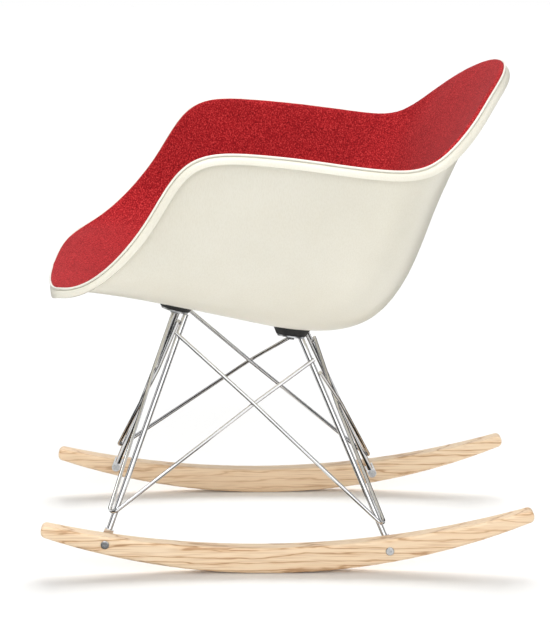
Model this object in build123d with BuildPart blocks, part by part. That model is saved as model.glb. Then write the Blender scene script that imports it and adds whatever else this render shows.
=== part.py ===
"""Rocking armchair: moulded bucket seat, welded rod base and two ash rockers.

Frame: +Z up, millimetres. The origin is on the floor, at the centre of the chair's
length and width. The sitter faces -Y, and the sitter's left is +X.
"""

import os
from math import cos, radians, sin, sqrt

from build123d import *

os.makedirs("parts", exist_ok=True)

# ---------------------------------------------------------------- driving dimensions

# Rockers
rocker_length = 686.0
rocker_spacing = 418.0  # centre to centre
rocker_thickness = 27.0
rocker_height = 37.0  # over the point that touches the floor
rocker_end_height = 17.0
rocking_radius = 959.0
contact_y = -23.0  # where the rockers touch the floor at rest
rocker_end_round = 7.5
rocker_edge_round = 4.0

# Screws through the rockers
front_foot = (-254.0, 43.5)  # Y and Z of the screw's axis
rear_foot = (142.0, 31.5)
foot_screw_diameter = 6.0
foot_screw_head = 11.6
foot_screw_head_height = 2.6
head_recess = 1.2
foot_nut_diameter = 10.0
foot_nut_height = 3.5
foot_screw_crown = 1.15  # rounding of the head's edge
foot_screw_end = 1.0  # length past the nut
screw_clearance = 0.25
slot_length, slot_width, slot_depth = 5.2, 1.1, 1.6

# Rod base
leg_diameter = 8.0
wire_diameter = 5.4
foot_pad_width = 13.0
foot_pad_reach = 15.0  # from the screw's axis up to where the round rod starts
foot_pad_thickness = 6.0
rod_start_gap = 2.25  # from the pad's round end to the start of the round rod
front_leg_top = (100.0, -141.0)  # X and Y where a leg meets its plate
rear_leg_top = (96.0, 22.0)
front_hook = 0.165  # share of the leg's length, from the foot, where a wire hooks round it
rear_hook = 0.16
front_arm_end = 0.955  # share of the leg's length where the front wires end
rear_arm_end = 0.82
side_arm_end_on_front = 0.905
side_arm_end_on_rear = 0.885
wire_overrun = 5.0  # length past the weld
crossing_bend = 300.0
crossing_gap = 0.35  # half of the gap between crossing wires
hook_gap = 1.0  # between a wire's bend and the rod inside it

# Mounts under the seat
front_mount = (88.0, -154.0)  # X and Y of the screw's axis at the shell
rear_mount = (84.0, 9.0)
mount_top_diameter = 54.0
mount_bottom_diameter = 42.0
mount_height = 9.5
plate_diameter = 39.0
plate_thickness = 2.5
plate_chamfer = 0.4
bond_depth = 1.5  # the rubber is moulded this far past the shell's face, then trimmed to it
mount_screw_diameter = 6.0
mount_screw_head = 10.0
mount_screw_head_height = 3.6
insert_diameter = 14.0
insert_height = 5.5

# Seat
shell_thickness = 4.0
lip_radius = 13.0
lip_turn = 82.0  # degrees that the lip rolls over
wall_turn = 30.0  # the first of them that are filled by the wall
front_droop = 40.0  # degrees that the lip is tipped down along the front edge
foam_thickness = 8.0
fabric_thickness = 2.0
pad_power = 6  # how far out the pad keeps its full thickness; higher is further
pad_rim_share = 0.25  # the pad's thickness at the rim, as a share of its full thickness
welt_diameter = 3.2
welt_turn = 22.0  # degrees round the lip to the welt's middle
welt_gap = 0.15

# Rim, from the front centre round the left arm to the top of the back
rim_points = [
    (0, -329, 399),
    (85, -327, 400),
    (160, -321, 403),
    (226, -306, 407),
    (284, -266, 426),
    (303, -186, 516),
    (300, -127, 590),
    (299, -46, 598),
    (303, 32, 590),
    (303, 122, 578),
    (284, 178, 579),
    (250, 224, 609),
    (165, 270, 655),
    (86, 297, 679),
    (0, 307, 688),
]
front_corner = 0.20  # share of the rim's length where the front edge turns up
back_corner = 0.83  # share where the wing turns into the top edge

# Centre line of the shell's inner face, from the front edge to the top of the back
centre_points = [
    (0, -329, 399),
    (0, -290, 400),
    (0, -246, 389),
    (0, -60, 335),
    (0, 40, 316),
    (0, 118, 331),
    (0, 165, 384),
    (0, 206, 492),
    (0, 250, 592),
    (0, 307, 688),
]
flat_share = 0.62  # how far the bottom stays level across the seat
wall_share = 0.94  # how far out the wall starts
wall_foot = 0.22  # how high its lower control point is
edge_blend = 0.35  # share of the seat over which the front and top edges fade in
softening_passes = 3  # rounds of averaging over the surface's normals
lip_steps = 6  # strips that make up the lip's curve


# ---------------------------------------------------------------- seat surface

right_rim_points = [(-x, y, z) for x, y, z in rim_points[-2:0:-1]]
rim = Spline(*rim_points, *right_rim_points, periodic=True)
centre_line = Spline(*centre_points)


def rim_point(share):
    """Point on the left half of the rim, from the front centre to the top of the back."""
    return rim @ (share / 2)


def smooth(t):
    """Goes from 1 at t = 0 to 0 at t = 1 and stays there."""
    t = min(max(t, 0.0), 1.0)
    return 1 - t * t * (3 - 2 * t)


def side_section(u):
    """Curve from the centre line out to the rim, u of the way from front to back."""
    start = centre_line @ u
    end = rim_point(front_corner + (back_corner - front_corner) * u)
    rise = end - start
    level = Vector(start.X + flat_share * end.X, start.Y, start.Z)
    foot = Vector(
        wall_share * end.X,
        start.Y + wall_foot * rise.Y,
        start.Z + wall_foot * rise.Z,
    )
    return Bezier(start, level, foot, end)


front_section = side_section(0)
back_section = side_section(1)


def seat_row(u, shares):
    """Points across half of the seat, at shares of the way from centre to rim."""
    section = side_section(u)
    row = []
    for v in shares:
        point = section @ v
        to_front = rim_point(front_corner * v) - (front_section @ v)
        to_back = rim_point(1 - (1 - back_corner) * v) - (back_section @ v)
        point += to_front * smooth(u / edge_blend)
        point += to_back * smooth((1 - u) / edge_blend)
        row.append(point)
    return row


def spaced(count):
    """Even shares from -1 to 1."""
    return [2 * i / (count - 1) - 1 for i in range(count)]


across_shares = spaced(25)
along_shares = spaced(33)
half_shares = [x for x in across_shares if x >= 0]
last_row, last_column = len(along_shares) - 1, len(across_shares) - 1

seat_points = []
for y in along_shares:
    left_half = seat_row((y + 1) / 2, half_shares)
    right_half = [Vector(-p.X, p.Y, p.Z) for p in left_half[:0:-1]]
    seat_points.append(right_half + left_half)


def clamp(value, low, high):
    """Nearest value between low and high."""
    return min(max(value, low), high)


def facet_normal(j, i):
    """Upward normal of the inner face from the four neighbours of a grid point."""
    j, i = clamp(j, 1, last_row - 1), clamp(i, 1, last_column - 1)
    across = seat_points[j][i + 1] - seat_points[j][i - 1]
    along = seat_points[j + 1][i] - seat_points[j - 1][i]
    return across.cross(along).normalized()


rows, columns = range(last_row + 1), range(last_column + 1)
seat_normals = [[facet_normal(j, i) for i in columns] for j in rows]


def softened(normals):
    """Each normal averaged with its neighbours, so that layers stay smooth."""
    return [
        [
            (
                normals[j][i] * 2
                + normals[clamp(j - 1, 0, last_row)][i]
                + normals[clamp(j + 1, 0, last_row)][i]
                + normals[j][clamp(i - 1, 0, last_column)]
                + normals[j][clamp(i + 1, 0, last_column)]
            ).normalized()
            for i in columns
        ]
        for j in rows
    ]


for _ in range(softening_passes):
    seat_normals = softened(seat_normals)


def rim_plane(j, i):
    """Plane square to the rim: X leaves the seat, level or falling, and Y is upward.

    Along the front edge the plane is tipped, so that the lip hangs down there.
    """
    if j in (0, last_row) and i in (0, last_column):
        tangent = seat_points[clamp(j, 1, last_row - 1)][i]
        tangent = tangent - seat_points[j][clamp(i, 1, last_column - 1)]
    elif j in (0, last_row):
        tangent = seat_points[j][i + 1] - seat_points[j][i - 1]
    else:
        tangent = seat_points[j + 1][i] - seat_points[j - 1][i]
    leaving = tangent.cross(seat_normals[j][i]).normalized()
    inside = seat_points[clamp(j, 2, last_row - 2)][clamp(i, 2, last_column - 2)]
    if leaving.dot(seat_points[j][i] - inside) < 0:
        leaving = -leaving
    level = tangent.cross(Vector(0, 0, 1)).normalized()
    if level.dot(leaving) < 0:
        level = -level
    out = level if leaving.Z > 0 else leaving
    along = tangent.normalized()
    upward = out.cross(along) if out.cross(along).Z > 0 else along.cross(out)
    if j == 0:
        droop = radians(front_droop * (1 - across_shares[i] ** 4))
        out, upward = out * cos(droop) - upward * sin(droop), out * sin(droop) + upward * cos(droop)
    return Plane(origin=seat_points[j][i], x_dir=out, z_dir=out.cross(upward))


def surface(height, directions=seat_normals):
    """Face that lies height(j, i) above the shell's inner face."""
    points = [
        [seat_points[j][i] + directions[j][i] * height(j, i) for i in columns] for j in rows
    ]
    return Face.make_surface_from_array_of_points(points, tol=0.1, min_deg=3, max_deg=3)


def mitred(j, i):
    """Seat normal, or at the rim the way to the corner between wall and lip."""
    normal = seat_normals[j][i]
    if 0 < j < last_row and 0 < i < last_column:
        return normal
    upward = rim_plane(j, i).y_dir
    return (normal + upward) / (1 + normal.dot(upward))


mitred_normals = [[mitred(j, i) for i in columns] for j in rows]


def nearest_edge(edges, edge):
    """The edge whose middle is closest to that of another."""
    return edges.sort_by(lambda e: (e @ 0.5 - edge @ 0.5).length)[0]


def layer(lower, upper):
    """Closed solid between two faces that have matching edges."""
    sides = [
        Face.make_surface_from_curves(edge, nearest_edge(upper.edges(), edge))
        for edge in lower.edges()
    ]
    return Solid(Shell([lower, upper] + sides))


def pad_height(j, i, full):
    """Height of a pad layer: full over the seat, thin at the rim."""
    fullness = (1 - along_shares[j] ** pad_power) * (1 - across_shares[i] ** pad_power)
    return full * (pad_rim_share + (1 - pad_rim_share) * fullness)


inner_face = surface(lambda j, i: 0.0)
outer_face = surface(lambda j, i: -shell_thickness, mitred_normals)
foam_face = surface(lambda j, i: pad_height(j, i, foam_thickness))
fabric_face = surface(lambda j, i: pad_height(j, i, foam_thickness + fabric_thickness))

with BuildPart() as foam_pad:
    add(layer(inner_face, foam_face))

with BuildPart() as fabric_cover:
    add(layer(foam_face, fabric_face))


# ---------------------------------------------------------------- shell with rolled rim


def rim_side(stations):
    """Curves round one side of the rim, over the lip's top face and back underneath."""
    planes = [rim_plane(j, i) for j, i in stations]

    def curve(radius, turn):
        x = radius * sin(radians(turn))
        y = radius * cos(radians(turn)) - lip_radius
        return Edge.make_spline([plane.from_local_coords((x, y, 0)) for plane in planes])

    turns = [lip_turn * step / lip_steps for step in range(1, lip_steps + 1)]
    top = [curve(lip_radius, turn) for turn in turns]
    # Underneath, the curve starts where the wall's outer face can meet it.
    under = [curve(lip_radius - shell_thickness, turn) for turn in turns if turn > wall_turn]
    chain = top + under[::-1]
    chain.insert(0, nearest_edge(inner_face.edges(), top[0]))
    chain.append(nearest_edge(outer_face.edges(), under[0]))
    return chain


# Each side runs the same way as the face's own edge: round the seat from the front left.
side_stations = [
    [(0, i) for i in reversed(columns)],
    [(j, 0) for j in rows],
    [(last_row, i) for i in columns],
    [(j, last_column) for j in reversed(rows)],
]
lip_faces = [
    Face.make_surface_from_curves(first, second)
    for chain in map(rim_side, side_stations)
    for first, second in zip(chain, chain[1:])
]

with BuildPart() as seat_shell:
    add(Solid(Shell([inner_face, outer_face] + lip_faces)))

welt_reach = lip_radius + welt_diameter / 2 + welt_gap
welt_middle = (
    welt_reach * sin(radians(welt_turn)),
    welt_reach * cos(radians(welt_turn)) - lip_radius,
    0,
)
round_rim = [station for stations in side_stations for station in stations[:-1]]
front_centre = round_rim.index((0, last_column // 2))
round_rim = round_rim[front_centre:] + round_rim[:front_centre]
welt_points = [rim_plane(j, i).from_local_coords(welt_middle) for j, i in round_rim]

# One half runs past the middle at both ends and is trimmed there.
half_points = welt_points[-1:] + welt_points[: len(welt_points) // 2 + 2]

with BuildPart() as edge_welt:
    with BuildLine() as half_line:
        Spline(*half_points)
    with BuildSketch(Plane(origin=half_line.line @ 0, z_dir=half_line.line % 0)):
        Circle(welt_diameter / 2)
    sweep()
    split(bisect_by=Plane.YZ, keep=Keep.BOTTOM)
    mirror(about=Plane.YZ)


# ---------------------------------------------------------------- rockers


def underside(y):
    """Height of the rocking arc above the floor."""
    return rocking_radius - sqrt(rocking_radius**2 - (y - contact_y) ** 2)


rocker_outer = (rocker_spacing + rocker_thickness) / 2
rocker_inner = (rocker_spacing - rocker_thickness) / 2
screw_hole = foot_screw_diameter + 2 * screw_clearance


def make_rocker(side):
    """One rocker; side is 1 on the left and -1 on the right."""
    front, back = -rocker_length / 2, rocker_length / 2
    with BuildPart() as rocker:
        with BuildSketch(Plane.YZ.offset(side * rocker_spacing / 2)) as outline:
            with BuildLine():
                low_front = (front, underside(front))
                low_back = (back, underside(back))
                high_front = (front, underside(front) + rocker_end_height)
                high_back = (back, underside(back) + rocker_end_height)
                ThreePointArc(low_front, (contact_y, 0), low_back)
                Line(low_back, high_back)
                ThreePointArc(high_back, (contact_y, rocker_height), high_front)
                Line(high_front, low_front)
            make_face()
            fillet(outline.vertices(), rocker_end_round)
        extrude(amount=rocker_thickness / 2, both=True)
        faces_outside = rocker.faces().sort_by(Axis.X)
        fillet(
            faces_outside[0].edges() + faces_outside[-1].edges(),
            rocker_edge_round,
        )
        with BuildSketch(Plane.YZ.offset(side * rocker_outer)):
            with Locations(front_foot, rear_foot):
                Circle(screw_hole / 2)
        extrude(amount=-side * rocker_thickness, mode=Mode.SUBTRACT)
        with BuildSketch(Plane.YZ.offset(side * rocker_outer)):
            with Locations(front_foot, rear_foot):
                Circle(foot_screw_head / 2 + screw_clearance)
        extrude(amount=-side * head_recess, mode=Mode.SUBTRACT)
    return rocker.part


rocker_left = make_rocker(1)
rocker_right = make_rocker(-1)


# ---------------------------------------------------------------- mounts and plates


def mount_plane(place, side):
    """Plane on the shell's underside at a mount, with Z pointing away from the shell."""
    x, y = place
    below = Axis((x, y, 0), (0, 0, 1))
    hits = outer_face.find_intersection_points(below)
    point, normal = min(hits, key=lambda hit: hit[0].Z)
    if normal.Z > 0:
        normal = -normal
    point = Vector(side * point.X, point.Y, point.Z)
    normal = Vector(side * normal.X, normal.Y, normal.Z)
    level = Vector(1, 0, 0)
    x_dir = (level - normal * level.dot(normal)).normalized()
    return Plane(origin=point, x_dir=x_dir, z_dir=normal)


corners = {
    "front_left": (front_mount, 1),
    "front_right": (front_mount, -1),
    "rear_left": (rear_mount, 1),
    "rear_right": (rear_mount, -1),
}
mount_planes = {name: mount_plane(*corner) for name, corner in corners.items()}
mount_bore = mount_screw_diameter + 2 * screw_clearance


def make_shock_mount(plane):
    """Rubber disc that widens towards the shell, with a pocket for its insert."""
    with BuildPart() as mount:
        with BuildSketch(plane.offset(-bond_depth)):
            Circle(mount_top_diameter / 2)
        with BuildSketch(plane.offset(mount_height)):
            Circle(mount_bottom_diameter / 2)
        loft()
        with BuildSketch(plane.offset(mount_height)):
            Circle(insert_diameter / 2)
        extrude(amount=-insert_height, mode=Mode.SUBTRACT)
        add(seat_shell.part, mode=Mode.SUBTRACT)
    return mount.part.solids().sort_by(SortBy.VOLUME)[-1]


def make_insert(plane):
    """Threaded steel insert in the rubber."""
    with BuildPart() as insert:
        with BuildSketch(plane.offset(mount_height)):
            Circle(insert_diameter / 2)
            Circle(mount_screw_diameter / 2, mode=Mode.SUBTRACT)
        extrude(amount=-insert_height)
    return insert.part


def make_plate(plane):
    """Round steel plate that the rubber sits on."""
    with BuildPart() as plate:
        with BuildSketch(plane.offset(mount_height)):
            Circle(plate_diameter / 2)
            Circle(mount_bore / 2, mode=Mode.SUBTRACT)
        extrude(amount=plate_thickness)
        chamfer(plate.edges().filter_by(GeomType.CIRCLE).group_by(SortBy.RADIUS)[-1], plate_chamfer)
    return plate.part


def make_mount_screw(plane):
    """Hex-head screw from under the plate into the insert."""
    with BuildPart() as screw:
        with BuildSketch(plane.offset(mount_height + plate_thickness)):
            RegularPolygon(mount_screw_head / 2, 6, major_radius=False)
        extrude(amount=mount_screw_head_height)
        with BuildSketch(plane.offset(mount_height + plate_thickness)):
            Circle(mount_screw_diameter / 2)
        extrude(amount=-(plate_thickness + insert_height))
    return screw.part


# ---------------------------------------------------------------- rod base

pad_middle = rocker_inner - foot_pad_thickness / 2
leg_radius, wire_radius = leg_diameter / 2, wire_diameter / 2
stand_off = leg_radius + wire_radius


def leg_ends(end, side):
    """Middle of a leg's foot pad and the point where the leg meets its plate."""
    foot, top = (front_foot, front_leg_top) if end == "front" else (rear_foot, rear_leg_top)
    plane = mount_planes[end + ("_left" if side > 0 else "_right")].offset(
        mount_height + plate_thickness
    )
    normal, origin = plane.z_dir, plane.origin
    x, y = side * top[0], top[1]
    z = origin.Z - ((x - origin.X) * normal.X + (y - origin.Y) * normal.Y) / normal.Z
    return Vector(side * pad_middle, foot[0], foot[1]), Vector(x, y, z), plane


def make_leg(end, side):
    """Round rod with a flat pad at its foot, cut flush under its plate."""
    foot, top, plate_under = leg_ends(end, side)
    direction = (top - foot).normalized()
    flat = Vector(0, direction.Y, direction.Z).normalized()
    with BuildPart() as leg:
        pad_plane = Plane(
            origin=(side * rocker_inner, foot.Y, foot.Z), x_dir=flat, z_dir=(-side, 0, 0)
        )
        with BuildSketch(pad_plane):
            Circle(foot_pad_width / 2)
            with Locations((foot_pad_reach / 2, 0)):
                Rectangle(foot_pad_reach, foot_pad_width)
            Circle(screw_hole / 2, mode=Mode.SUBTRACT)
        extrude(amount=foot_pad_thickness)
        rod_start = foot + direction * (foot_pad_width / 2 + rod_start_gap)
        with BuildSketch(Plane(origin=rod_start, z_dir=direction)):
            Circle(leg_radius)
        extrude(amount=(top - rod_start).length + leg_diameter)
        split(bisect_by=plate_under, keep=Keep.TOP)
    return leg.part


def on_leg(end, side, share):
    """Point on a leg's centre line, as a share of its length from the foot."""
    foot, top, _ = leg_ends(end, side)
    return foot + (top - foot) * share


def touching(end, side, share, toward, away):
    """Point where a wire from toward touches a leg, on the leg's side that faces away."""
    point = on_leg(end, side, share)
    foot, top, _ = leg_ends(end, side)
    across = (top - foot).cross(toward - point).normalized()
    if across.dot(away) < 0:
        across = -across
    return point + across * stand_off


def closest(a, b, c, d):
    """Middle of the shortest gap between the lines a-b and c-d, and that gap's direction."""
    u, v, w = b - a, d - c, a - c
    uu, uv, vv, uw, vw = u.dot(u), u.dot(v), v.dot(v), u.dot(w), v.dot(w)
    spread = uu * vv - uv * uv
    on_first = a + u * ((uv * vw - vv * uw) / spread)
    on_second = c + v * ((uu * vw - uv * uw) / spread)
    return (on_first + on_second) / 2, u.cross(v).normalized()


def arm(end, side, across):
    """Hook point, far end and outward side of one arm of a wire."""
    hook = on_leg(end, side, front_hook if end == "front" else rear_hook)
    if across:
        share = front_arm_end if end == "front" else rear_arm_end
        away = Vector(0, -1, 0) if end == "front" else Vector(0, 1, 0)
        tip = touching(end, -side, share, hook, away)
    else:
        away = Vector(side, 0, 0)
        other = "rear" if end == "front" else "front"
        share = side_arm_end_on_rear if end == "front" else side_arm_end_on_front
        tip = touching(other, side, share, hook, away)
    return hook + away * stand_off, tip, away


def crossing(end, side, across):
    """Point where an arm passes over or under the arm that it crosses."""
    start, tip, away = arm(end, side, across)
    if across:
        other_start, other_tip, _ = arm(end, -side, True)
        over = (side > 0) == (end == "front")
    else:
        other_start, other_tip, _ = arm("rear" if end == "front" else "front", side, False)
        over = (side > 0) != (end == "front")
    middle, gap = closest(start, tip, other_start, other_tip)
    if gap.dot(away) < 0:
        gap = -gap
    rise = wire_radius + crossing_gap
    return middle + gap * (rise if over else -rise)


def make_cross_wire(end, side):
    """Wire hooked round one leg, with an arm to each neighbouring leg's top."""
    hook = on_leg(end, side, front_hook if end == "front" else rear_hook)
    tips = [arm(end, side, across)[1] for across in (True, False)]
    passes = [crossing(end, side, across) for across in (True, False)]
    foot, top, _ = leg_ends(end, side)
    rod = (top - foot).normalized()
    ways = [(place - hook).normalized() for place in passes]
    inward = (ways[0] + ways[1]).normalized()
    half_angle_sine = (ways[0] - ways[1]).length / 2
    # The rod crosses the bend at a slant, so the bend's middle moves out to clear it.
    bend_radius = stand_off + hook_gap
    clear = bend_radius / inward.cross(rod).length - bend_radius
    bend = hook - inward * (clear + bend_radius / half_angle_sine)
    ends = [
        tip + (tip - place).normalized() * wire_overrun for tip, place in zip(tips, passes)
    ]
    with BuildPart() as wire:
        with BuildLine() as route:
            FilletPolyline(
                ends[0],
                passes[0],
                bend,
                passes[1],
                ends[1],
                radius=[crossing_bend, bend_radius, crossing_bend],
            )
        with BuildSketch(Plane(origin=route.line @ 0, z_dir=route.line % 0)):
            Circle(wire_radius)
        sweep()
    return wire.part


# ---------------------------------------------------------------- foot fasteners

feet = [(side, foot) for side in (1, -1) for foot in (front_foot, rear_foot)]


def make_foot_screw(side, foot):
    """Cross-slot screw through a rocker, a foot pad and a nut."""
    seat_x = side * (rocker_outer - head_recess)
    nut_end = side * (rocker_inner - foot_pad_thickness - foot_nut_height - foot_screw_end)
    with BuildPart() as screw:
        with BuildSketch(Plane.YZ.offset(seat_x)):
            with Locations(foot):
                Circle(foot_screw_head / 2)
        extrude(amount=side * foot_screw_head_height)
        crown = screw.faces().sort_by(Axis.X)[-1 if side > 0 else 0]
        fillet(crown.edges(), foot_screw_crown)
        with BuildSketch(Plane.YZ.offset(seat_x)):
            with Locations(foot):
                Circle(foot_screw_diameter / 2)
        extrude(amount=nut_end - seat_x)
        with BuildSketch(Plane.YZ.offset(seat_x + side * foot_screw_head_height)):
            with Locations(foot):
                Rectangle(slot_length, slot_width)
                Rectangle(slot_width, slot_length)
        extrude(amount=-side * slot_depth, mode=Mode.SUBTRACT)
    return screw.part


def make_foot_nut(side, foot):
    """Hex nut on the inner side of a foot pad."""
    with BuildPart() as nut:
        with BuildSketch(Plane.YZ.offset(side * (rocker_inner - foot_pad_thickness))):
            with Locations(foot):
                RegularPolygon(foot_nut_diameter / 2, 6, major_radius=False)
                Circle(foot_screw_diameter / 2, mode=Mode.SUBTRACT)
        extrude(amount=-side * foot_nut_height)
    return nut.part


# ---------------------------------------------------------------- finished pieces

pieces = {
    "seat_shell": seat_shell.part,
    "foam_pad": foam_pad.part,
    "fabric_cover": fabric_cover.part,
    "edge_welt": edge_welt.part,
    "rocker_left": rocker_left,
    "rocker_right": rocker_right,
}
for name, plane in mount_planes.items():
    pieces["shock_mount_" + name] = make_shock_mount(plane)
    pieces["mount_insert_" + name] = make_insert(plane)
    pieces["mount_plate_" + name] = make_plate(plane)
    end, hand = name.split("_")
    side = 1 if hand == "left" else -1
    pieces["leg_" + name] = make_leg(end, side)
    pieces["cross_wire_" + name] = make_cross_wire(end, side)

pieces["mount_screws"] = Compound([make_mount_screw(plane) for plane in mount_planes.values()])
pieces["foot_screws"] = Compound([make_foot_screw(side, foot) for side, foot in feet])
pieces["foot_nuts"] = Compound([make_foot_nut(side, foot) for side, foot in feet])

for name, piece in pieces.items():
    piece.label = name
    export_step(piece, f"parts/{name}.step")
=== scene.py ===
import math

import bmesh
import bpy
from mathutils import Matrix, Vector
from mathutils.bvhtree import BVHTree


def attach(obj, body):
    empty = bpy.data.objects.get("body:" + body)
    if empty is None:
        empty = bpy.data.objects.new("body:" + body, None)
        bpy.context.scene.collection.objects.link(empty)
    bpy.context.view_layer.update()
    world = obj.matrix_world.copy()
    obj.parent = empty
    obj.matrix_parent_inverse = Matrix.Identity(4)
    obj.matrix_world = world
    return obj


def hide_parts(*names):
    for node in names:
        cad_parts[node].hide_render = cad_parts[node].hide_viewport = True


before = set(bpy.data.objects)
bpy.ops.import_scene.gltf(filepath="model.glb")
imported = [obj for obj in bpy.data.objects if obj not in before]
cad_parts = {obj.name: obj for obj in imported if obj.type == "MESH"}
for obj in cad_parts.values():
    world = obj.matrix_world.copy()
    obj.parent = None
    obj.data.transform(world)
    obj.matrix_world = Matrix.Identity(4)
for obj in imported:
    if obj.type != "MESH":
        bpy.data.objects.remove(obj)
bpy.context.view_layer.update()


# ---------------------------------------------------------------- studio
# The chair stands on a plain white floor in a white room. The main light comes from
# overhead and a weaker one from the side. The floor has a light of its own.

look_at = Vector((0.0, -0.0129, 0.3124))
azimuth, elevation = math.radians(88.68), math.radians(11.87)
distance, sensor_width, focal_length = 3.725, 36.0, 143.6  # metres, then millimetres

camera = bpy.data.objects.new("camera", bpy.data.cameras.new("camera"))
camera.data.sensor_width = sensor_width
camera.data.lens = focal_length
camera.data.dof.use_dof = False
toward_camera = Vector((
    math.sin(azimuth) * math.cos(elevation),
    -math.cos(azimuth) * math.cos(elevation),
    math.sin(elevation),
))
camera.location = look_at + toward_camera * distance
camera.rotation_euler = toward_camera.to_track_quat("Z", "Y").to_euler()
bpy.context.scene.collection.objects.link(camera)
bpy.context.scene.camera = camera


def distant_light(name, source, spread, strength):
    """A light from that direction, spread over an angle in degrees so its shadows are soft."""
    lamp = bpy.data.objects.new(name, bpy.data.lights.new(name, "SUN"))
    lamp.data.angle = math.radians(spread)
    lamp.data.energy = strength
    lamp.rotation_euler = Vector(source).to_track_quat("Z", "Y").to_euler()
    bpy.context.scene.collection.objects.link(lamp)
    return lamp


overhead = distant_light("overhead_light", (0.1, -0.15, 1.0), 50, 2.3)
distant_light("side_light", (1.0, 0.15, 0.45), 60, 1.0)
floor_light = distant_light("floor_light", (-1.0, 0.15, 1.0), 38, 2.45)
camera_white, room_grey, band_black = 1.0, 0.42, 0.03

# The room is white to the camera. What glossy surfaces mirror has dark upright bands.
room = bpy.data.worlds.new("white_room")
room.use_nodes = True
room_nodes, room_links = room.node_tree.nodes, room.node_tree.links
backdrop = room_nodes["Background"]
backdrop.inputs["Color"].default_value = (1, 1, 1, 1)
backdrop.inputs["Strength"].default_value = room_grey
seen = room_nodes.new("ShaderNodeBackground")
seen.inputs["Color"].default_value = (camera_white, camera_white, camera_white, 1)
mirrored = room_nodes.new("ShaderNodeBackground")
compass = room_nodes.new("ShaderNodeTexGradient")
compass.gradient_type = "RADIAL"
direction = room_nodes.new("ShaderNodeTexCoord")
room_links.new(direction.outputs["Generated"], compass.inputs["Vector"])
bands = room_nodes.new("ShaderNodeValToRGB")


def dark_and_light(ramp, bright):
    """Dark upright bands beside bright ones, all the way round."""
    ramp.elements[0].color = ramp.elements[1].color = (bright, bright, bright, 1)
    for place, dark in (
        (0.05, False), (0.07, True), (0.17, True), (0.20, False), (0.27, False), (0.30, True),
        (0.40, True), (0.43, False), (0.46, False), (0.48, True), (0.53, True), (0.56, False),
        (0.62, False), (0.65, True), (0.74, True), (0.77, False), (0.84, False), (0.87, True),
        (0.94, True), (0.96, False),
    ):
        grey = band_black if dark else bright
        ramp.elements.new(place).color = (grey, grey, grey, 1)


dark_and_light(bands.color_ramp, 1.0)
room_links.new(compass.outputs["Fac"], bands.inputs["Fac"])
room_links.new(bands.outputs["Color"], mirrored.inputs["Color"])
ray = room_nodes.new("ShaderNodeLightPath")
for share, first, second in (
    (ray.outputs["Is Glossy Ray"], backdrop, mirrored),
    (ray.outputs["Is Camera Ray"], None, seen),
):
    blend = room_nodes.new("ShaderNodeMixShader")
    room_links.new(share, blend.inputs[0])
    room_links.new((first or previous).outputs[0], blend.inputs[1])
    room_links.new(second.outputs[0], blend.inputs[2])
    previous = blend
room_links.new(previous.outputs[0], room_nodes["World Output"].inputs["Surface"])
bpy.context.scene.world = room
bpy.context.scene.view_settings.view_transform = "Standard"


def finish(name, colour, roughness, metallic=0.0):
    """A new material, its node tree and its main shader."""
    material = bpy.data.materials.new(name)
    material.use_nodes = True
    tree = material.node_tree
    shader = tree.nodes["Principled BSDF"]
    shader.inputs["Base Color"].default_value = (*colour, 1)
    shader.inputs["Roughness"].default_value = roughness
    shader.inputs["Metallic"].default_value = metallic
    return material, tree, shader


def mesh_object(name, points, faces):
    """A smooth-shaded mesh object made from points and faces."""
    mesh = bpy.data.meshes.new(name)
    mesh.from_pydata([tuple(point) for point in points], [], faces)
    mesh.update()
    mesh.shade_smooth()
    thing = bpy.data.objects.new(name, mesh)
    bpy.context.scene.collection.objects.link(thing)
    return thing


paint = (0.97, 0.97, 0.97)
floor_white, floor_tree, floor_shader = finish("floor_white", paint, 0.95)
floor_shader.inputs["Specular IOR Level"].default_value = 0.0
around = floor_tree.nodes.new("ShaderNodeTexGradient")
around.gradient_type = "RADIAL"
floor_place = floor_tree.nodes.new("ShaderNodeTexCoord")
floor_tree.links.new(floor_place.outputs["Object"], around.inputs["Vector"])
floor_bands = floor_tree.nodes.new("ShaderNodeValToRGB")
floor_tree.links.new(around.outputs["Fac"], floor_bands.inputs["Fac"])
dark_and_light(floor_bands.color_ramp, 0.9)
# Glossy surfaces see the floor with the room's dark bands. Everything else sees it white.
floor_ray = floor_tree.nodes.new("ShaderNodeLightPath")
floor_mix = floor_tree.nodes.new("ShaderNodeMix")
floor_mix.data_type = "RGBA"
floor_mix.inputs[6].default_value = (*paint, 1)
floor_tree.links.new(floor_ray.outputs["Is Glossy Ray"], floor_mix.inputs[0])
floor_tree.links.new(floor_bands.outputs["Color"], floor_mix.inputs[7])
floor_tree.links.new(floor_mix.outputs[2], floor_shader.inputs["Base Color"])

reach = 9.0
floor = mesh_object(
    "floor",
    [(-reach, -reach, 0), (reach, -reach, 0), (reach, reach, 0), (-reach, reach, 0)],
    [(0, 1, 2, 3)],
)
floor.data.materials.append(floor_white)

# The floor has a light of its own, in which only the rockers throw a shadow.
floor_only = bpy.data.collections.new("floor_only")
floor_only.objects.link(floor)
not_floor = bpy.data.collections.new("not_floor")
not_floor.objects.link(floor)
not_floor.collection_objects[0].light_linking.link_state = "EXCLUDE"
floor_light.light_linking.receiver_collection = floor_only
overhead.light_linking.receiver_collection = not_floor
rocker_shadows = bpy.data.collections.new("rocker_shadows")
for name in ("rocker_left", "rocker_right"):
    rocker_shadows.objects.link(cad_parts[name])
floor_light.light_linking.blocker_collection = rocker_shadows


# ---------------------------------------------------------------- rockers
# Two rockers sawn from solid pale ash, so the grain runs straight through the curve.
# The edges are rounded over and the surface has a clear satin lacquer.


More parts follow.
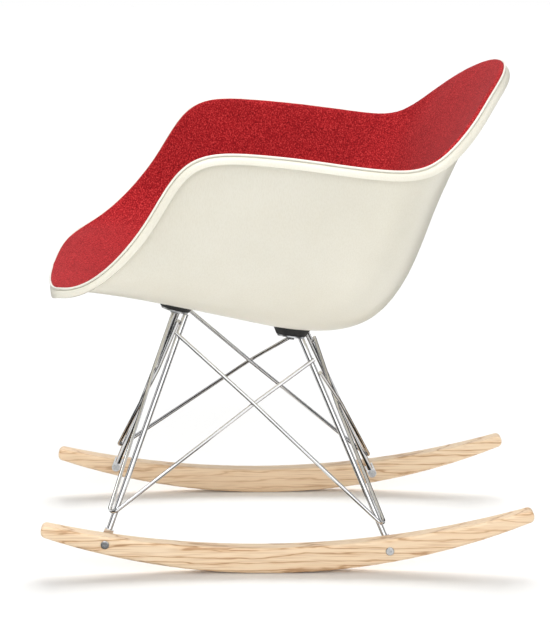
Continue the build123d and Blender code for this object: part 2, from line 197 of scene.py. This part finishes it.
def add(tree, kind, **sockets):
    """A node of that kind, with its named inputs set or linked."""
    node = tree.nodes.new(kind)
    for name, value in sockets.items():
        socket = node.inputs[name.replace("_", " ")]
        if isinstance(value, bpy.types.NodeSocket):
            tree.links.new(value, socket)
        else:
            socket.default_value = value
    return node


def place_in(tree, scale, shift=(0, 0, 0)):
    """The point on the piece, scaled along each axis."""
    point = tree.nodes.new("ShaderNodeTexCoord").outputs["Object"]
    return add(tree, "ShaderNodeMapping", Vector=point, Scale=scale, Location=shift).outputs[0]


def speckle(tree, point, scale, detail=3.0, roughness=0.5, distortion=0.0):
    """Noise from 0 to 1 over those points."""
    node = add(tree, "ShaderNodeTexNoise", Vector=point, Scale=scale, Detail=detail,
               Roughness=roughness, Distortion=distortion)
    return node.outputs["Fac"]


def graded(tree, value, stops):
    """Colours or greys spread over a value: stops are (place, colour)."""
    ramp = add(tree, "ShaderNodeValToRGB", Fac=value)
    band = ramp.color_ramp
    while len(band.elements) < len(stops):
        band.elements.new(0.5)
    for element, (place, colour) in zip(band.elements, stops):
        element.position = place
        element.color = (*colour, 1)
    return ramp.outputs["Color"]


def mixed(tree, first, second, share, blend="MIX"):
    """Two colours mixed by a share."""
    node = tree.nodes.new("ShaderNodeMix")
    node.data_type = "RGBA"
    node.blend_type = blend
    for socket, value in ((node.inputs[6], first), (node.inputs[7], second), (node.inputs[0], share)):
        if isinstance(value, bpy.types.NodeSocket):
            tree.links.new(value, socket)
        else:
            socket.default_value = value
    return node.outputs[2]


def relief(tree, shader, height, strength, depth):
    """Fine relief on the surface; depth is in metres."""
    bump = add(tree, "ShaderNodeBump", Height=height, Strength=strength, Distance=depth)
    tree.links.new(bump.outputs["Normal"], shader.inputs["Normal"])


def ash_wood(name, shift):
    """Pale ash with long brown growth lines and fine open pores."""
    material, tree, shader = finish(name, (0.84, 0.62, 0.40), 0.42)
    shader.inputs["Coat Weight"].default_value = 0.12
    shader.inputs["Coat Roughness"].default_value = 0.3
    shader.inputs["Specular IOR Level"].default_value = 0.35
    board = place_in(tree, (9.0, 1.1, 9.0), shift)
    rings = add(tree, "ShaderNodeTexWave", Vector=board, Scale=2.9, Distortion=11.0,
                Detail=4.0, Detail_Scale=1.3, Detail_Roughness=0.6)
    rings.bands_direction = "Z"
    lines = graded(tree, rings.outputs["Fac"], (
        (0.0, (0.52, 0.30, 0.15)),
        (0.06, (0.78, 0.54, 0.33)),
        (0.20, (0.87, 0.66, 0.44)),
        (1.0, (0.90, 0.71, 0.50)),
    ))
    drift = speckle(tree, place_in(tree, (3.0, 1.0, 6.0), shift), 1.6, 2.0)
    toned = mixed(tree, lines, (0.84, 0.61, 0.40, 1), graded(tree, drift, (
        (0.35, (0.05,) * 3), (0.75, (0.75,) * 3))))
    pores = speckle(tree, place_in(tree, (620.0, 16.0, 620.0), shift), 1.0, 2.0)
    pore_marks = graded(tree, pores, ((0.36, (0.72, 0.60, 0.50)), (0.50, (1, 1, 1))))
    colour = mixed(tree, toned, pore_marks, 0.5, "MULTIPLY")
    tree.links.new(colour, shader.inputs["Base Color"])
    relief(tree, shader, pores, 0.25, 0.0003)
    return material


def dress(node, material):
    """Gives a CAD node its finish."""
    node.data.materials.clear()
    node.data.materials.append(material)


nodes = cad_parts
dress(nodes["rocker_left"], ash_wood("ash_left", (0.31, 0.2, 0.83)))
dress(nodes["rocker_right"], ash_wood("ash_right", (0.12, 1.7, 0.37)))


# ---------------------------------------------------------------- rod base
# Four 8 mm rods stand on the rockers. Four thinner wires hook round them low down
# and run up to the neighbouring rods, where they are welded. All of it is chromed.

chrome, chrome_tree, chrome_shader = finish("bright_chrome", (0.70, 0.70, 0.71), 0.07, 1.0)
polish = speckle(chrome_tree, place_in(chrome_tree, (1, 1, 1)), 240.0, 3.0)
haze = add(chrome_tree, "ShaderNodeMapRange", Value=polish, From_Min=0.3, From_Max=0.7,
           To_Min=0.05, To_Max=0.12)
chrome_tree.links.new(haze.outputs["Result"], chrome_shader.inputs["Roughness"])

for name, node in nodes.items():
    if name.startswith(("leg_", "cross_wire_")):
        dress(node, chrome)


# ---------------------------------------------------------------- screws and nuts
# Cross-slot screws with low round heads go through the rockers and the flattened
# ends of the rods. Each has a nut on the inside. They are zinc plated.

zinc, zinc_tree, zinc_shader = finish("zinc_plate", (0.62, 0.63, 0.65), 0.3, 1.0)
patches = speckle(zinc_tree, place_in(zinc_tree, (1, 1, 1)), 320.0, 4.0)
zinc_tree.links.new(
    graded(zinc_tree, patches, ((0.3, (0.48, 0.49, 0.51)), (0.7, (0.70, 0.71, 0.72)))),
    zinc_shader.inputs["Base Color"],
)
relief(zinc_tree, zinc_shader, patches, 0.2, 0.0001)

for name in ("foot_screws", "foot_nuts"):
    dress(nodes[name], zinc)


# ---------------------------------------------------------------- seat mounts
# A black rubber disc is bonded under the shell at each rod. A threaded insert is
# moulded into it, and a screw from below holds the rod's round plate to the insert.

rubber, rubber_tree, rubber_shader = finish("moulded_rubber", (0.012, 0.012, 0.013), 0.55)
bloom = speckle(rubber_tree, place_in(rubber_tree, (1, 1, 1)), 900.0, 4.0)
rubber_tree.links.new(
    graded(rubber_tree, bloom, ((0.3, (0.008,) * 3), (0.75, (0.03, 0.03, 0.031)))),
    rubber_shader.inputs["Base Color"],
)
relief(rubber_tree, rubber_shader, bloom, 0.3, 0.0002)

for name, node in nodes.items():
    if name.startswith("shock_mount_"):
        dress(node, rubber)
    elif name.startswith("mount_"):
        dress(node, zinc)


# ---------------------------------------------------------------- seat shell
# One moulded bucket of glass-filled plastic, off-white and satin, 4 mm thick. Its
# whole edge is rolled outward and down into a stiff lip.


def smooth_copy(node, name, crease=40):
    """A copy of a CAD node with its split vertices joined, so that it shades smoothly."""
    mesh = node.data.copy()
    mesh.name = name
    shape = bmesh.new()
    shape.from_mesh(mesh)
    bmesh.ops.remove_doubles(shape, verts=shape.verts, dist=2e-5)
    shape.to_mesh(mesh)
    shape.free()
    mesh.shade_smooth()
    mesh.set_sharp_from_angle(angle=math.radians(crease))
    thing = bpy.data.objects.new(name, mesh)
    bpy.context.scene.collection.objects.link(thing)
    return thing


moulding, moulding_tree, moulding_shader = finish("moulded_plastic", (0.80, 0.775, 0.67), 0.4)
moulding_shader.inputs["Coat Weight"].default_value = 0.15
moulding_shader.inputs["Coat Roughness"].default_value = 0.25
moulding_shader.inputs["Subsurface Weight"].default_value = 0.04
moulding_shader.inputs["Subsurface Radius"].default_value = (0.004, 0.003, 0.002)
clouds = speckle(moulding_tree, place_in(moulding_tree, (1, 1, 1)), 9.0, 3.0)
fibres = speckle(moulding_tree, place_in(moulding_tree, (1, 1, 0.25)), 700.0, 3.0)
tint = graded(moulding_tree, clouds, ((0.3, (0.785, 0.755, 0.645)), (0.7, (0.825, 0.80, 0.70))))
strands = graded(moulding_tree, fibres, ((0.35, (0.94, 0.93, 0.91)), (0.6, (1, 1, 1))))
moulding_tree.links.new(
    mixed(moulding_tree, tint, strands, 0.6, "MULTIPLY"), moulding_shader.inputs["Base Color"]
)
relief(moulding_tree, moulding_shader, fibres, 0.08, 0.0002)

shell = smooth_copy(nodes["seat_shell"], "moulded_shell")
dress(shell, moulding)
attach(shell, "seat")
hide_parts("seat_shell")


# ---------------------------------------------------------------- upholstery
# A thin foam pad lines the bucket, with one piece of red woven cloth pulled taut over
# it. The cloth rolls over the rim and ends at the welt.

weave, weave_tree, weave_shader = finish("red_weave", (0.45, 0.012, 0.02), 0.92)
weave_shader.inputs["Sheen Weight"].default_value = 0.08
weave_shader.inputs["Sheen Roughness"].default_value = 0.45
weave_shader.inputs["Sheen Tint"].default_value = (1.0, 0.45, 0.45, 1)
weave_shader.inputs["Specular IOR Level"].default_value = 0.2
heather = speckle(weave_tree, place_in(weave_tree, (1, 1, 1)), 460.0, 4.0, 0.7)
yarn = speckle(weave_tree, place_in(weave_tree, (1, 1, 1)), 1300.0, 2.0, 0.6)
broad = speckle(weave_tree, place_in(weave_tree, (1, 1, 1)), 14.0, 2.0)
reds = graded(weave_tree, heather, (
    (0.34, (0.15, 0.002, 0.005)),
    (0.50, (0.42, 0.010, 0.016)),
    (0.64, (0.72, 0.060, 0.060)),
))
flecks = graded(weave_tree, yarn, ((0.35, (0.70,) * 3), (0.65, (1.12,) * 3)))
woven = mixed(weave_tree, reds, flecks, 0.8, "MULTIPLY")
shading = graded(weave_tree, broad, ((0.3, (0.93,) * 3), (0.7, (1.05,) * 3)))
weave_tree.links.new(
    mixed(weave_tree, woven, shading, 1.0, "MULTIPLY"), weave_shader.inputs["Base Color"]
)
relief(weave_tree, weave_shader, heather, 0.45, 0.0006)

cover_solid = nodes["fabric_cover"].data
cover_tree = BVHTree.FromPolygons(
    [vertex.co for vertex in cover_solid.vertices],
    [polygon.vertices for polygon in cover_solid.polygons],
)
spokes, rings = 240, 84
halvings, rim_margin = 22, 1e-4
heart = Vector((0.0, -0.06, 0.60))  # a point in the bucket that sees all of its lining


def lining(turn, tilt):
    """Point on the lining, seen from the heart: turn round Z, tilt up from straight down."""
    way = Vector((math.sin(tilt) * math.sin(turn), -math.sin(tilt) * math.cos(turn), -math.cos(tilt)))
    return cover_tree.ray_cast(heart, way)[0]


def rim_tilt(turn):
    """The highest tilt at which the lining is still met."""
    low, high = 0.5, 2.4  # radians; the rim lies between them
    for _ in range(halvings):
        middle = (low + high) / 2
        if lining(turn, middle) is None:
            high = middle
        else:
            low = middle
    return low - rim_margin


turns = [2 * math.pi * spoke / spokes for spoke in range(spokes)]
tilts = [rim_tilt(turn) for turn in turns]
sheet_points = [lining(0, 0)]
for ring in range(1, rings + 1):
    for turn, tilt in zip(turns, tilts):
        sheet_points.append(lining(turn, tilt * (ring / rings)))

# At the rim the cover rolls over the edge, out to the welt that holds it down.
welt_solid = nodes["edge_welt"].data
welt_tree = BVHTree.FromPolygons(
    [vertex.co for vertex in welt_solid.vertices],
    [polygon.vertices for polygon in welt_solid.polygons],
)
roll_rise, roll_rings = 0.0015, 6
edge_row = sheet_points[-spokes:]
inner_row = sheet_points[-3 * spokes:-2 * spokes]
for ring in range(1, roll_rings + 1):
    share = ring / roll_rings
    for edge, inner in zip(edge_row, inner_row):
        held = welt_tree.find_nearest(edge)[0]
        across = held - edge
        pulled = (edge - inner).normalized()
        rise = (pulled - across * pulled.dot(across) / across.length_squared).normalized()
        sheet_points.append(edge + across * share + rise * roll_rise * math.sin(math.pi * share))
rings += roll_rings

sheet_faces = [(0, 1 + spoke, 1 + (spoke + 1) % spokes) for spoke in range(spokes)]
for ring in range(rings - 1):
    for spoke in range(spokes):
        a = 1 + ring * spokes + spoke
        b = 1 + ring * spokes + (spoke + 1) % spokes
        sheet_faces.append((a, a + spokes, b + spokes, b))

upholstery = mesh_object("red_upholstery", sheet_points, sheet_faces)
dress(upholstery, weave)
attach(upholstery, "seat")
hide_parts("fabric_cover", "foam_pad")


# ---------------------------------------------------------------- welt
# A smooth ivory cord of solid plastic follows the rim. It lies on the rolled lip, where
# it covers the fabric's edge and holds it down.

ivory, ivory_tree, ivory_shader = finish("ivory_plastic", (0.88, 0.86, 0.77), 0.33)
ivory_shader.inputs["Coat Weight"].default_value = 0.2
cloud = speckle(ivory_tree, place_in(ivory_tree, (1, 1, 1)), 40.0, 3.0)
ivory_tree.links.new(
    graded(ivory_tree, cloud, ((0.3, (0.86, 0.84, 0.75)), (0.7, (0.90, 0.885, 0.80)))),
    ivory_shader.inputs["Base Color"],
)

welt = smooth_copy(nodes["edge_welt"], "rim_welt")
dress(welt, ivory)
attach(welt, "seat")
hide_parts("edge_welt")
